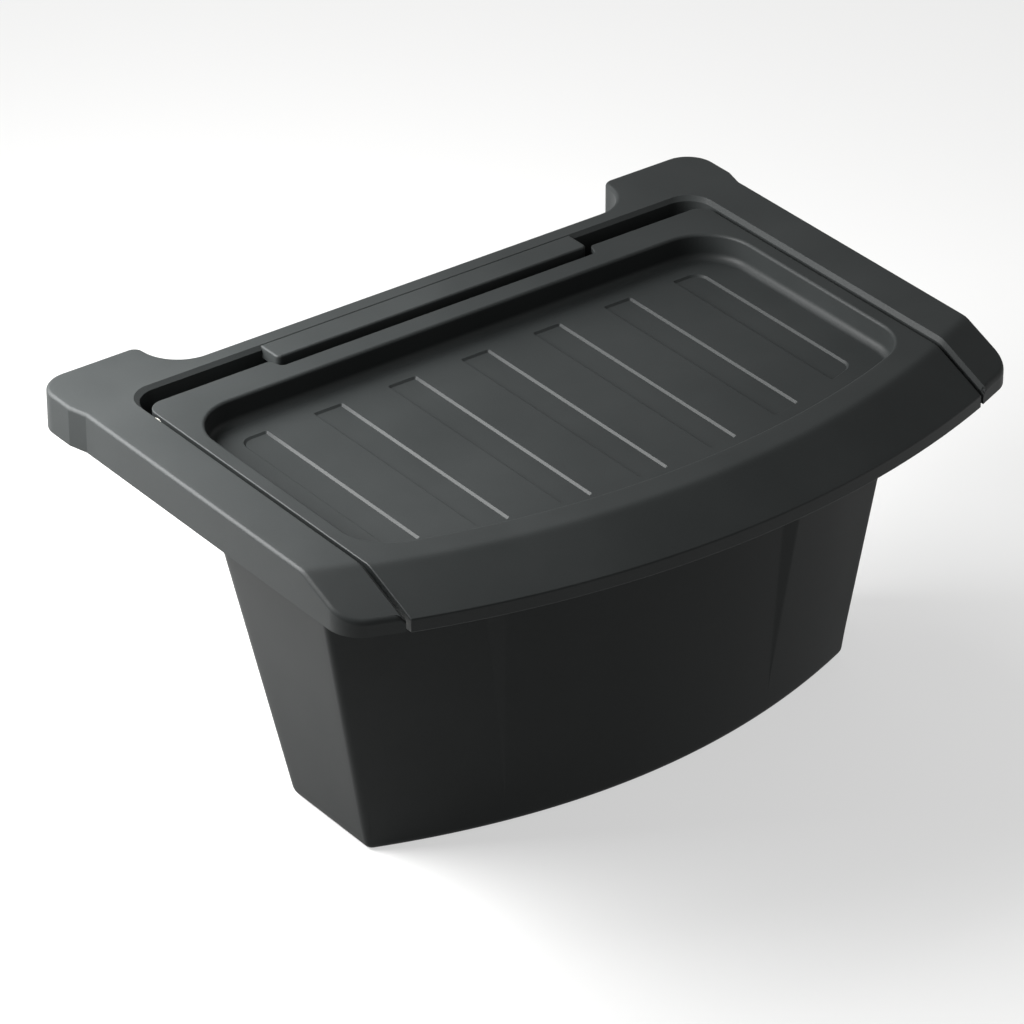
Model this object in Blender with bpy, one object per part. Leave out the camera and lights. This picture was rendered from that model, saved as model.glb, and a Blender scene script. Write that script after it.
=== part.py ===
"""Lidded waste bin that hangs by its rim frame: tapered bucket, hinged lid with a sunken grooved tray."""
import bmesh
import bpy
from math import asin, ceil, cos, pi, radians, sin, sqrt, tan
from mathutils import Matrix, Vector

# Overall size, metres. X is the width, the front faces -Y, and the bucket stands on Z = 0.
WIDTH = 0.450
REAR = 0.163
TOP = 0.2095
GAP = 0.0003

# The rim frame: a U-shaped channel, open at the front, with two ears behind and a tongue over the lid.
SIDE_HALF = 0.2218
EAR_HALF = WIDTH / 2
EAR_INNER = 0.159
EAR_STEP_Y = (0.117, 0.129)
EAR_CORNER = 0.018
EAR_TIP_CORNER = 0.006
EAR_CURVE = 0.024
EAR_TAPER = 0.0035
REAR_EDGE = 0.1338
FRAME_WALL = 0.0028
FRAME_SKIRT = 0.0233
OPENING_HALF = 0.192
OPENING_REAR = 0.1216
OPENING_CORNER = 0.016
TONGUE_HALF = 0.105
TONGUE_FRONT = 0.107
TONGUE_DEPTH = 0.007
TONGUE_CORNER = 0.002
CORNER_RADIUS = 0.020

# The front of the frame and the lid: arcs about one centre, where the top slopes down to the lip.
ARC_CENTRE_Y = 0.404
SLOPE_RADIUS = 0.5325
LIP_RADIUS = 0.5670
LIP_DROP = 0.0145

# The lid: its top is a little lower than the frame's, and its tray is sunk into it.
LID_HALF = 0.1895
LID_DROP = 0.0020
LID_REAR = 0.1093
LID_NOTCH = 0.1010
LID_NOTCH_HALF = 0.109
LID_CORNER = 0.010
NOTCH_CORNER = 0.003
LID_WALL = 0.0025
LID_SKIRT = 0.0125
LIP_SKIRT = 0.0099
LIP_REACH = 0.012
TRAY_HALF = 0.180
TRAY_REAR = 0.0872
TRAY_FRONT_RADIUS = 0.5155
TRAY_DEPTH = 0.0155
TRAY_FLOOR = 0.0022
TRAY_CORNER = 0.030
TRAY_CORNER_SHARE = 1.15

# The tray's grooves: shallow channels from the rear to the front.
GROOVE_COUNT = 7
GROOVE_PITCH = 0.049
GROOVE_WIDTH = 0.019
GROOVE_DEPTH = 0.0010
GROOVE_CORNER = 0.0016
GROOVE_REAR = 0.0710
GROOVE_FRONT_RADIUS = 0.4915

# The hinge: steel pins from the frame's side walls into bushes in the lid's sides.
HINGE_Y = 0.097
HINGE_Z = TOP - 0.0095
PIN_RADIUS = 0.0025
PIN_INNER = 0.1790
PIN_OUTER = 0.2045
BUSH_RADIUS = 0.0042
BUSH_FLANGE_RADIUS = 0.0052
BUSH_FLANGE = 0.0010
BOSS_LENGTH = 0.0060
BOSS_WALL = 0.0018
LUG_DEPTH = 0.0160
LUG_BELOW = 0.0065
LUG_OUTER = 0.0030

# The bucket: walls that lean outwards, a bowed front, a sloping chute behind and a flange under the frame.
BASE_HALF = 0.1636
SIDE_LEAN = 0.1835
BASE_FRONT = 0.0862
FRONT_LEAN = 0.0364
FRONT_BOW = 0.0332
BASE_REAR = 0.0235
REAR_LEAN = 0.1313
BUCKET_WALL = 0.0026
CHUTE_Z = 0.168
FLANGE_THICK = 0.0022
FLANGE_SIDE = 0.2185
FLANGE_REAR = 0.1305
FLANGE_FRONT = 0.0060
FLANGE_CORNER = 0.010
FLANGE_WING = 0.034
WING_START = 5 / 6
CHUTE_MARGIN = 0.008
REAR_CORNER = 0.012
FRONT_STEPS = 16
CORNER_STEPS = 4

# Small parts.
SCREW_X = 0.2085
SCREW_Y = (-0.072, -0.015, 0.042, 0.078)
SCREW_RADIUS = 0.0016
SCREW_HEAD_RADIUS = 0.0034
SCREW_HEAD = 0.0018
SCREW_LENGTH = 0.0100
POST_RADIUS = 0.0038
TAB_Y = (-0.070, 0.060)
TAB_LENGTH = 0.014
TAB_REACH = 0.0085
TAB_THICK = 0.0024
BUMPER_RADIUS = 0.0027
PAD_X = (0.1700, 0.2130)
PAD_Y = (0.1405, 0.1560)
PAD_CORNER = 0.002
EDGE_BREAK = 0.0006

# How finely round shapes are divided, how far a cutter runs past its piece, and a joined block into it.
ARC_STEP = radians(15)
ROUND_STEPS = 24
POST_STEPS = 16
SCREW_STEPS = 12
SLOPE_STEPS = 32
MARGIN = 0.010
OVERLAP = 0.001

LIP_LOW = TOP - LIP_DROP - LIP_SKIRT
LID_TOP = TOP - LID_DROP
SKIRT_LOW = TOP - FRAME_SKIRT
FLANGE_LOW = SKIRT_LOW + 0.0002
FLANGE_TOP = FLANGE_LOW + FLANGE_THICK
TAB_LOW = FLANGE_TOP + GAP
TRAY_Z = LID_TOP - TRAY_DEPTH
LID_SIDE_LOW = LID_TOP - LID_SKIRT
SLOPE = LIP_DROP / (LIP_RADIUS - SLOPE_RADIUS)


def clear_scene():
    for item in list(bpy.data.objects):
        bpy.data.objects.remove(item, do_unlink=True)


def make_material(name, colour, roughness, metallic=0.0):
    material = bpy.data.materials.new(name)
    material.use_nodes = True
    shader = material.node_tree.nodes["Principled BSDF"]
    shader.inputs["Base Color"].default_value = (*colour, 1.0)
    shader.inputs["Roughness"].default_value = roughness
    shader.inputs["Metallic"].default_value = metallic
    return material


def new_object(name, mesh_builder, material=None, origin=(0, 0, 0)):
    """Turn a bmesh built in world space into an object whose origin is at the given point."""
    mesh = bpy.data.meshes.new(name)
    bmesh.ops.translate(mesh_builder, verts=mesh_builder.verts, vec=-Vector(origin))
    bmesh.ops.recalc_face_normals(mesh_builder, faces=mesh_builder.faces)
    mesh_builder.to_mesh(mesh)
    mesh_builder.free()
    item = bpy.data.objects.new(name, mesh)
    item.location = origin
    bpy.context.scene.collection.objects.link(item)
    if material:
        mesh.materials.append(material)
        mesh.shade_smooth()
        mesh.set_sharp_from_angle(angle=radians(30))
    return item


def as_cutter(item):
    item.hide_render = True
    item.display_type = "WIRE"
    return item


def combine(target, tool, operation):
    modifier = target.modifiers.new(tool.name, "BOOLEAN")
    modifier.object = tool
    modifier.operation = operation
    modifier.solver = "EXACT"
    as_cutter(tool)


def arc_y(x, radius):
    """Depth of a front arc at x."""
    return ARC_CENTRE_Y - sqrt(radius * radius - x * x)


def rounded(corners):
    """Outline through (x, y, radius) corners, each rounded with an arc of its own radius."""
    outline = []
    for index, (x, y, radius) in enumerate(corners):
        corner = Vector((x, y))
        before = (Vector(corners[index - 1][:2]) - corner).normalized()
        after = (Vector(corners[(index + 1) % len(corners)][:2]) - corner).normalized()
        if radius == 0:
            outline.append(corner)
            continue
        half_angle = before.angle(after) / 2
        centre = corner + (before + after).normalized() * (radius / sin(half_angle))
        start = corner + before * (radius / tan(half_angle)) - centre
        turn = start.angle_signed(corner + after * (radius / tan(half_angle)) - centre)
        steps = max(2, ceil(abs(turn) / ARC_STEP))
        for step in range(steps + 1):
            outline.append(centre + Matrix.Rotation(-turn * step / steps, 2) @ start)
    return outline


def prism(name, outline, low, high, material=None):
    """Upright solid over a plan outline."""
    builder = bmesh.new()
    rim = [builder.verts.new((point[0], point[1], low)) for point in outline]
    face = builder.faces.new(rim)
    raised = bmesh.ops.extrude_face_region(builder, geom=[face])["geom"]
    tops = [part for part in raised if isinstance(part, bmesh.types.BMVert)]
    bmesh.ops.translate(builder, verts=tops, vec=(0, 0, high - low))
    return new_object(name, builder, material)


def cylinder(name, radius, start, end, material=None, origin=(0, 0, 0), steps=ROUND_STEPS):
    """Round bar between two points."""
    axis = Vector(end) - Vector(start)
    middle = Matrix.Translation((Vector(start) + Vector(end)) / 2)
    place = middle @ axis.to_track_quat("Z", "Y").to_matrix().to_4x4()
    builder = bmesh.new()
    bmesh.ops.create_cone(builder, cap_ends=True, segments=steps, radius1=radius, radius2=radius,
                          depth=axis.length, matrix=place)
    return new_object(name, builder, material, origin)


def loft(name, rings, material=None):
    """Closed skin through rings of equal point counts, capped at both ends."""
    builder = bmesh.new()
    rows = [[builder.verts.new(point) for point in ring] for ring in rings]
    count = len(rows[0])
    for lower, upper in zip(rows, rows[1:]):
        for index in range(count):
            after = (index + 1) % count
            builder.faces.new((lower[index], lower[after], upper[after], upper[index]))
    builder.faces.new(rows[0])
    builder.faces.new(rows[-1])
    return new_object(name, builder, material)


def slope_wedge(name, inset):
    """Ring-shaped wedge above the front slope, lowered by the inset to leave a wall's thickness."""
    outer = LIP_RADIUS + 2 * MARGIN
    shift = inset * sqrt(1 + SLOPE * SLOPE)
    inner = max(SLOPE_RADIUS - shift / SLOPE, SLOPE_RADIUS - MARGIN)
    slope = [(radius, TOP - shift - SLOPE * (radius - SLOPE_RADIUS)) for radius in (inner, outer)]
    profile = slope + [(outer, TOP + MARGIN), (inner, TOP + MARGIN)]
    half_angle = asin(WIDTH / 2 / SLOPE_RADIUS) + radians(1)
    rings = []
    for step in range(SLOPE_STEPS + 1):
        angle = -pi / 2 + half_angle * (2 * step / SLOPE_STEPS - 1)
        rings.append([(r * cos(angle), ARC_CENTRE_Y + r * sin(angle), z) for r, z in profile])
    return loft(name, rings)


def front_arc(radius, half, steps=FRONT_STEPS):
    """Points of a front arc from the left to the right."""
    return [(x, arc_y(x, radius)) for x in (half * (2 * step / steps - 1) for step in range(steps + 1))]


def frame_outside(wall):
    """The frame's outer edge, from the right end of the opening round the ears to the left end."""
    front_y = arc_y(SIDE_HALF, LIP_RADIUS) + wall
    right = [
        (OPENING_HALF + wall, arc_y(OPENING_HALF, LIP_RADIUS) + wall, 0),
        (SIDE_HALF - wall, front_y, CORNER_RADIUS - wall),
        (SIDE_HALF - wall, EAR_STEP_Y[0], 0),
        (EAR_HALF - wall, EAR_STEP_Y[1], 0),
        (EAR_HALF - wall, REAR - wall, EAR_CORNER - wall),
        (EAR_INNER + wall, REAR - wall, EAR_TIP_CORNER - wall),
        (EAR_INNER - EAR_TAPER + wall, REAR_EDGE - wall, EAR_CURVE + wall),
    ]
    return right + [(-x, y, radius) for x, y, radius in reversed(right)]


def frame_outline(wall):
    """The rim frame's plan, or the plan of the hollow inside its channel, which has no tongue."""
    corner = (OPENING_HALF + wall, OPENING_REAR + wall, OPENING_CORNER + wall)
    tongue = [] if wall else [(TONGUE_HALF, TONGUE_FRONT, TONGUE_CORNER), (TONGUE_HALF, OPENING_REAR, 0)]
    right = tongue + [corner]
    left = [(-x, y, radius) for x, y, radius in reversed(right)]
    return rounded(frame_outside(wall) + left + right)


def block(name, side, x_range, y_range, low, high):
    """Upright block between two widths, on the left or the right side."""
    inner, outer = (side * x for x in x_range)
    near, far = y_range
    return prism(name, [(inner, near), (outer, near), (outer, far), (inner, far)], low, high)


def add_post(frame, side, y, name):
    """A post under the frame's top that a screw cuts into."""
    x = side * SCREW_X
    post = cylinder(f"post_{name}", POST_RADIUS, (x, y, FLANGE_TOP + GAP), (x, y, TOP - FRAME_WALL / 2),
                    steps=POST_STEPS)
    combine(frame, post, "UNION")
    bore = cylinder(f"post_bore_{name}", SCREW_RADIUS + GAP, (x, y, SKIRT_LOW - MARGIN),
                    (x, y, FLANGE_TOP + SCREW_LENGTH), steps=SCREW_STEPS)
    combine(frame, bore, "DIFFERENCE")


def add_hinge_lug(frame, side):
    """A solid lug inside the frame's side wall, bored for the hinge pin."""
    lug = block(f"lug_{side}", side, (OPENING_HALF + OVERLAP, PIN_OUTER + LUG_OUTER),
                (HINGE_Y - LUG_DEPTH / 2, HINGE_Y + LUG_DEPTH / 2), HINGE_Z - LUG_BELOW, TOP - FRAME_WALL / 2)
    combine(frame, lug, "UNION")
    start = (side * (OPENING_HALF - MARGIN / 2), HINGE_Y, HINGE_Z)
    end = (side * (PIN_OUTER + GAP), HINGE_Y, HINGE_Z)
    socket = cylinder(f"pin_socket_{side}", PIN_RADIUS + GAP, start, end)
    combine(frame, socket, "DIFFERENCE")


def make_rim_frame(plastic):
    frame = prism("rim_frame", frame_outline(0.0), SKIRT_LOW, TOP, plastic)
    hollow = prism("frame_hollow", frame_outline(FRAME_WALL), SKIRT_LOW - MARGIN, TOP - FRAME_WALL)
    combine(hollow, slope_wedge("frame_hollow_slope", FRAME_WALL), "DIFFERENCE")
    beside = TONGUE_HALF + MARGIN
    relief = [(-beside, LID_NOTCH), (beside, LID_NOTCH), (beside, OPENING_REAR), (-beside, OPENING_REAR)]
    under_tongue = prism("tongue_relief", relief, SKIRT_LOW - MARGIN, TOP - TONGUE_DEPTH)
    inside = rounded(frame_outside(FRAME_WALL))
    above_flange = prism("inner_wall_trim", inside, SKIRT_LOW - MARGIN, FLANGE_TOP + GAP)
    combine(frame, slope_wedge("frame_slope", 0.0), "DIFFERENCE")
    for tool in (hollow, above_flange, under_tongue):
        combine(frame, tool, "DIFFERENCE")
    for side in (-1, 1):
        for index, y in enumerate(SCREW_Y):
            add_post(frame, side, y, f"{side}_{index}")
        for index, y in enumerate(TAB_Y):
            tab = block(f"tab_{side}_{index}", side, (OPENING_HALF - TAB_REACH, OPENING_HALF + OVERLAP),
                        (y - TAB_LENGTH / 2, y + TAB_LENGTH / 2), TAB_LOW, TAB_LOW + TAB_THICK)
            combine(frame, tab, "UNION")
        add_hinge_lug(frame, side)
    return frame


def lid_outline(inset):
    """The lid's plan, or the same plan moved inwards."""
    half = LID_HALF - inset
    front = [(x, y + inset, 0) for x, y in front_arc(LIP_RADIUS, half)]
    rear = [
        (half, LID_REAR - inset, LID_CORNER - inset),
        (LID_NOTCH_HALF + inset, LID_REAR - inset, NOTCH_CORNER),
        (LID_NOTCH_HALF - NOTCH_CORNER + inset, LID_NOTCH - inset, NOTCH_CORNER),
    ]
    return rounded(front + rear + [(-x, y, radius) for x, y, radius in reversed(rear)])


def tray_outline(outset):
    """The tray's plan: straight sides and rear, a bowed front and round corners."""
    half = TRAY_HALF + outset
    radius = TRAY_FRONT_RADIUS + outset
    corner = TRAY_CORNER + outset
    reach = half - TRAY_CORNER_SHARE * corner
    front = [(x, y, 0) for x, y in front_arc(radius, reach)]
    right = [(half, arc_y(half, radius), corner), (half, TRAY_REAR + outset, corner)]
    return rounded(front + right + [(-x, y, rounding) for x, y, rounding in reversed(right)])


def groove_outline(x):
    """One groove's plan: a slot with small round corners, whose front end follows the lid's bow."""
    left, right = x - GROOVE_WIDTH / 2, x + GROOVE_WIDTH / 2
    corners = [(left, arc_y(left, GROOVE_FRONT_RADIUS)), (right, arc_y(right, GROOVE_FRONT_RADIUS)),
               (right, GROOVE_REAR), (left, GROOVE_REAR)]
    return rounded([(*corner, GROOVE_CORNER) for corner in corners])


def add_bush_boss(lid, side):
    """A boss inside the lid's side wall, bored for the bush and recessed for its flange."""

    def on_axis(x):
        return (side * x, HINGE_Y, HINGE_Z)

    boss = cylinder(f"boss_{side}", BUSH_RADIUS + BOSS_WALL, on_axis(LID_HALF - BOSS_LENGTH),
                    on_axis(LID_HALF - LID_WALL / 2))
    bore = cylinder(f"boss_bore_{side}", BUSH_RADIUS + GAP, on_axis(LID_HALF - 2 * MARGIN),
                    on_axis(LID_HALF + OVERLAP))
    seat = cylinder(f"bush_seat_{side}", BUSH_FLANGE_RADIUS + GAP, on_axis(LID_HALF - BUSH_FLANGE - GAP),
                    on_axis(LID_HALF + OVERLAP))
    combine(lid, boss, "UNION")
    combine(lid, bore, "DIFFERENCE")
    combine(lid, seat, "DIFFERENCE")


def make_lid(plastic):
    lid = prism("lid", lid_outline(0.0), LIP_LOW, LID_TOP, plastic)
    hollow = prism("lid_hollow", lid_outline(LID_WALL), LIP_LOW - MARGIN, LID_TOP - LID_WALL)
    combine(hollow, slope_wedge("lid_hollow_slope", LID_WALL), "DIFFERENCE")
    tray_block = prism("tray_block", tray_outline(LID_WALL), TRAY_Z - TRAY_FLOOR, TOP + MARGIN)
    combine(hollow, tray_block, "DIFFERENCE")
    combine(lid, slope_wedge("lid_slope", 0.0), "DIFFERENCE")
    combine(lid, hollow, "DIFFERENCE")
    behind_lip = front_arc(LIP_RADIUS - LIP_REACH, EAR_HALF) + [(EAR_HALF, REAR), (-EAR_HALF, REAR)]
    side_trim = prism("lid_side_trim", behind_lip, LIP_LOW - MARGIN, LID_SIDE_LOW)
    combine(side_trim, tray_block, "DIFFERENCE")
    combine(lid, side_trim, "DIFFERENCE")
    combine(lid, prism("tray_recess", tray_outline(0.0), TRAY_Z, TOP + MARGIN), "DIFFERENCE")
    for index in range(GROOVE_COUNT):
        outline = groove_outline(GROOVE_PITCH * (index - (GROOVE_COUNT - 1) / 2))
        combine(lid, prism(f"groove_{index}", outline, TRAY_Z - GROOVE_DEPTH, TRAY_Z + OVERLAP), "DIFFERENCE")
    for side in (-1, 1):
        add_bush_boss(lid, side)
    return lid


def rear_corners(half, rear, radius, z):
    """The two round rear corners at one level, from the right wall to the left."""
    turns = [pi / 2 * step / CORNER_STEPS for step in range(CORNER_STEPS + 1)]
    right = [(half - radius + radius * cos(turn), rear - radius + radius * sin(turn), z) for turn in turns]
    return right + [(-x, y, level) for x, y, level in reversed(right)]


def bucket_ring(z, inset=0.0, chute=0.0):
    """One level of the bucket: bowed front, leaning sides and a rear that the chute moves back."""
    half = BASE_HALF + SIDE_LEAN * z - inset
    front = -(BASE_FRONT + FRONT_LEAN * z) + inset
    rear = BASE_REAR + REAR_LEAN * min(z, CHUTE_Z) - inset + chute
    places = [2 * step / FRONT_STEPS - 1 for step in range(FRONT_STEPS + 1)]
    bow = [(half * place, front + FRONT_BOW * place ** 2, z) for place in places]
    return bow + rear_corners(half, rear, REAR_CORNER, z)


def flange_ring(z):
    """The flange's outer edge, with as many points as a bucket ring, matched by their order."""
    bow = bucket_ring(z)[:FRONT_STEPS + 1]
    half = bow[-1][0]
    points = []
    for x, y, level in bow:
        wing = max(0.0, (abs(x) / half - WING_START) / (1 - WING_START)) ** 2
        widened = x * (1 + (FLANGE_SIDE / half - 1) * wing)
        points.append((widened, y - FLANGE_FRONT - FLANGE_WING * wing, level))
    return points + rear_corners(FLANGE_SIDE, FLANGE_REAR, FLANGE_CORNER, z)


def make_bucket(plastic):
    chute_reach = FLANGE_REAR - CHUTE_MARGIN - (BASE_REAR + REAR_LEAN * CHUTE_Z)
    rings = [
        bucket_ring(0.0),
        bucket_ring(CHUTE_Z),
        bucket_ring(FLANGE_LOW, 0.0, chute_reach),
        flange_ring(FLANGE_LOW),
        flange_ring(FLANGE_TOP),
        bucket_ring(FLANGE_TOP, BUCKET_WALL, chute_reach),
        bucket_ring(CHUTE_Z + BUCKET_WALL, BUCKET_WALL),
        bucket_ring(BUCKET_WALL, BUCKET_WALL),
    ]
    bucket = loft("bucket", rings, plastic)
    for side in (-1, 1):
        for index, y in enumerate(SCREW_Y):
            x = side * SCREW_X
            hole = cylinder(f"flange_hole_{side}_{index}", SCREW_RADIUS + GAP, (x, y, FLANGE_LOW - MARGIN),
                            (x, y, FLANGE_TOP + MARGIN), steps=SCREW_STEPS)
            combine(bucket, hole, "DIFFERENCE")
    return bucket


def turned(name, profile, origin, axis, material, steps=ROUND_STEPS):
    """Solid of revolution through (radius, height) points, from end to end of its axis or a closed ring."""
    builder = bmesh.new()
    place = Matrix.Translation(origin) @ axis.to_track_quat("Z", "Y").to_matrix().to_4x4()
    turns = [2 * pi * step / steps for step in range(steps)]
    rows = []
    for radius, height in profile:
        around = turns if radius else [0]
        ring = [(radius * cos(turn), radius * sin(turn), height) for turn in around]
        rows.append([builder.verts.new(place @ Vector(point)) for point in ring])
    closing = [] if profile[0][0] == 0 else [(rows[-1], rows[0])]
    for lower, upper in list(zip(rows, rows[1:])) + closing:
        for k in range(steps):
            after = (k + 1) % steps
            if len(lower) == 1:
                builder.faces.new((lower[0], upper[after], upper[k]))
            elif len(upper) == 1:
                builder.faces.new((lower[k], lower[after], upper[0]))
            else:
                builder.faces.new((lower[k], lower[after], upper[after], upper[k]))
    return new_object(name, builder, material, origin)


def make_screw(name, x, y, steel):
    """Pan-head screw, driven up through the flange: its head and shank are one turned piece."""
    seat = FLANGE_LOW - GAP
    tip = FLANGE_TOP + SCREW_LENGTH - OVERLAP
    profile = [(0, tip), (SCREW_RADIUS * 0.5, tip), (SCREW_RADIUS, tip - SCREW_RADIUS), (SCREW_RADIUS, seat),
               (SCREW_HEAD_RADIUS, seat), (SCREW_HEAD_RADIUS, seat - SCREW_HEAD * 0.5),
               (SCREW_HEAD_RADIUS * 0.7, seat - SCREW_HEAD), (0, seat - SCREW_HEAD)]
    return turned(name, profile, (x, y, 0), Vector((0, 0, 1)), steel, SCREW_STEPS)


def make_hinge(side, name, steel, nylon):
    """One pin, fixed in the frame's lug, and the flanged bush that turns on it inside the lid."""
    axis = Vector((side, 0, 0))
    pin_profile = [(0, PIN_INNER), (PIN_RADIUS - EDGE_BREAK, PIN_INNER), (PIN_RADIUS, PIN_INNER + EDGE_BREAK),
                   (PIN_RADIUS, PIN_OUTER), (0, PIN_OUTER)]
    turned(f"hinge_pin_{name}", pin_profile, (0, HINGE_Y, HINGE_Z), axis, steel)
    inner = PIN_RADIUS + GAP
    start = LID_HALF - BOSS_LENGTH
    flange = LID_HALF - BUSH_FLANGE
    bush_profile = [(inner, start), (BUSH_RADIUS, start), (BUSH_RADIUS, flange), (BUSH_FLANGE_RADIUS, flange),
                    (BUSH_FLANGE_RADIUS, LID_HALF), (inner, LID_HALF)]
    turned(f"hinge_bush_{name}", bush_profile, (0, HINGE_Y, HINGE_Z), axis, nylon)


def make_bumper(name, x, y, rubber):
    """Rubber buffer standing on a frame tab, under the lid's side."""
    low = TAB_LOW + TAB_THICK + GAP
    high = LID_SIDE_LOW - GAP
    profile = [(0, low), (BUMPER_RADIUS, low), (BUMPER_RADIUS, high - EDGE_BREAK),
               (BUMPER_RADIUS - EDGE_BREAK, high), (0, high)]
    turned(name, profile, (x, y, 0), Vector((0, 0, 1)), rubber, POST_STEPS)


def make_pad(name, side, rubber):
    """Block that fills the underside of an ear, so that the frame rests on it where it hangs."""
    corners = [(PAD_X[0], PAD_Y[0]), (PAD_X[1], PAD_Y[0]), (PAD_X[1], PAD_Y[1]), (PAD_X[0], PAD_Y[1])]
    outline = rounded([(side * x, y, PAD_CORNER) for x, y in corners])
    prism(name, outline, SKIRT_LOW, TOP - FRAME_WALL - GAP, rubber)


def build_bin():
    clear_scene()
    black_plastic = make_material("black_plastic", (0.033, 0.035, 0.035), 0.45)
    bucket_plastic = make_material("bucket_plastic", (0.028, 0.030, 0.030), 0.5)
    lid_plastic = make_material("lid_plastic", (0.035, 0.037, 0.037), 0.42)
    steel = make_material("zinc_steel", (0.60, 0.61, 0.62), 0.35, 1.0)
    nylon = make_material("white_nylon", (0.75, 0.74, 0.70), 0.5)
    rubber = make_material("black_rubber", (0.015, 0.015, 0.015), 0.85)
    make_rim_frame(black_plastic)
    make_bucket(bucket_plastic)
    make_lid(lid_plastic)
    for side, name in ((-1, "left"), (1, "right")):
        make_hinge(side, name, steel, nylon)
        make_pad(f"rest_pad_{name}", side, rubber)
        for y, place in zip(TAB_Y, ("front", "rear")):
            make_bumper(f"lid_bumper_{place}_{name}", side * (LID_HALF - BUMPER_RADIUS), y, rubber)
        for index, y in enumerate(SCREW_Y):
            make_screw(f"frame_screw_{name}_{index + 1}", side * SCREW_X, y, steel)


build_bin()
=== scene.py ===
from math import ceil, cos, degrees, hypot, pi, radians, sin, sqrt, tan

import bmesh
import bpy
from mathutils import Matrix, Vector


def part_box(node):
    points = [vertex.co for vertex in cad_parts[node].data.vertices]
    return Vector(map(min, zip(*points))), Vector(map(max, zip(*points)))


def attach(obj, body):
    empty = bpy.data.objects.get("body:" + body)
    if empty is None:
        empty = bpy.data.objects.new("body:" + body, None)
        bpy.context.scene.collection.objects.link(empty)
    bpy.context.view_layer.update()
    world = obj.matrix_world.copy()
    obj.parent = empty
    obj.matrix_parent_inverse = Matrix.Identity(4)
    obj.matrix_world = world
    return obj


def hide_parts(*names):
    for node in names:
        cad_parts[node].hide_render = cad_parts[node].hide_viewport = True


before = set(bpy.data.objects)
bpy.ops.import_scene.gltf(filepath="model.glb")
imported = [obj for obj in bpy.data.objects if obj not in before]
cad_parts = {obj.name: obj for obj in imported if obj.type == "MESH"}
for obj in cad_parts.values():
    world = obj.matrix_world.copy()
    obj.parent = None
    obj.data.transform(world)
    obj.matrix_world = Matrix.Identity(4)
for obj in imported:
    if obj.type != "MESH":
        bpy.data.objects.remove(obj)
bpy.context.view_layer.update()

# Sizes are in metres, in the frame's own axes: +Z up and the front lip towards -Y.
mm = 0.001

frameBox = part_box("rim_frame")
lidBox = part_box("lid")
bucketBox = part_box("bucket")

print("scene: the packed frame is loaded,", len(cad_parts), "nodes")

# how outlines are rounded, skins closed, tools drawn and carved pieces shaded
drawing = {
    "arcDegrees": 4,
    "smallestRadius": 0.05 * mm,
    "mitreLimit": 0.2,
    "weld": 0.01 * mm,
    "carvedWeld": 0.02 * mm,
    "sliver": 0.001 * mm,
    "sharpDegrees": 32,
    "normalWeight": 80,
    "overrun": 10 * mm,
    "toolSpacing": 6 * mm,
    "blockSpacing": 3 * mm,
    "blockRoundSteps": 5,
    "barSides": 32,
}

# the arcs about one centre that the frame and the lid share, and the slope between them
frontArcs = {
    "centreY": 404 * mm,
    "slopeRadius": 532.5 * mm,
    "lipRadius": 567 * mm,
    "slopeDrop": 14.5 * mm,
    "creaseBlend": 2.0 * mm,
    "wedgeSteps": 32,
    "wedgeDegrees": 27,
    "wedgeLead": 2.2,
}
slopeFall = frontArcs["slopeDrop"] / (frontArcs["lipRadius"] - frontArcs["slopeRadius"])


def arcY(x, radius):
    return frontArcs["centreY"] - sqrt(radius * radius - x * x)


def topZ(x, y, flat):
    # the height of a top face: flat, then a steady slope towards the lip, with a soft crease between
    reach = hypot(x, y - frontArcs["centreY"]) - frontArcs["slopeRadius"]
    blend = frontArcs["creaseBlend"]
    if reach <= -blend:
        return flat
    if reach >= blend:
        return flat - slopeFall * reach
    return flat - slopeFall * (reach + blend) ** 2 / (4 * blend)


def quarterTurns(steps):
    return [pi / 2 * step / steps for step in range(steps + 1)]


def roundCorners(corners, inset=0.0, stepDegrees=drawing["arcDegrees"]):
    # (x, y, radius) corners to a smooth outline, moved inwards by the inset, which never changes the count
    count = len(corners)
    moved = []
    for k in range(count):
        x, y, radius = corners[k]
        here = Vector((x, y))
        back = (here - Vector(corners[k - 1][:2])).normalized()
        onward = (Vector(corners[(k + 1) % count][:2]) - here).normalized()
        bisector = Vector((-back.y - onward.y, back.x + onward.x))
        cosHalf = max(drawing["mitreLimit"], sqrt(max(0.0, (1 + back.dot(onward)) / 2)))
        turn = back.x * onward.y - back.y * onward.x
        shifted = here + bisector.normalized() * (inset / cosHalf)
        bent = max(drawing["smallestRadius"], radius - inset if turn > 0 else radius + inset)
        moved.append((shifted, bent if radius else 0.0))
    outline = []
    for k in range(count):
        corner, radius = moved[k]
        if radius == 0.0:
            outline.append(corner)
            continue
        before = (moved[k - 1][0] - corner).normalized()
        after = (moved[(k + 1) % count][0] - corner).normalized()
        halfAngle = before.angle(after) / 2
        centre = corner + (before + after).normalized() * (radius / sin(halfAngle))
        start = corner + before * (radius / tan(halfAngle)) - centre
        end = corner + after * (radius / tan(halfAngle)) - centre
        turn = start.angle_signed(end)
        steps = max(2, ceil(degrees(pi - 2 * halfAngle) / stepDegrees))
        outline += [centre + Matrix.Rotation(-turn * j / steps, 2) @ start for j in range(steps + 1)]
    return outline


def segmentCounts(outline, spacing):
    onward = outline[1:] + outline[:1]
    return [max(1, ceil((b - a).length / spacing)) for a, b in zip(outline, onward)]


def fillIn(outline, counts):
    # divides each side of an outline into its own number of equal steps
    points = []
    for k, steps in enumerate(counts):
        a, b = outline[k], outline[(k + 1) % len(outline)]
        points += [a.lerp(b, j / steps) for j in range(steps)]
    return points


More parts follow.
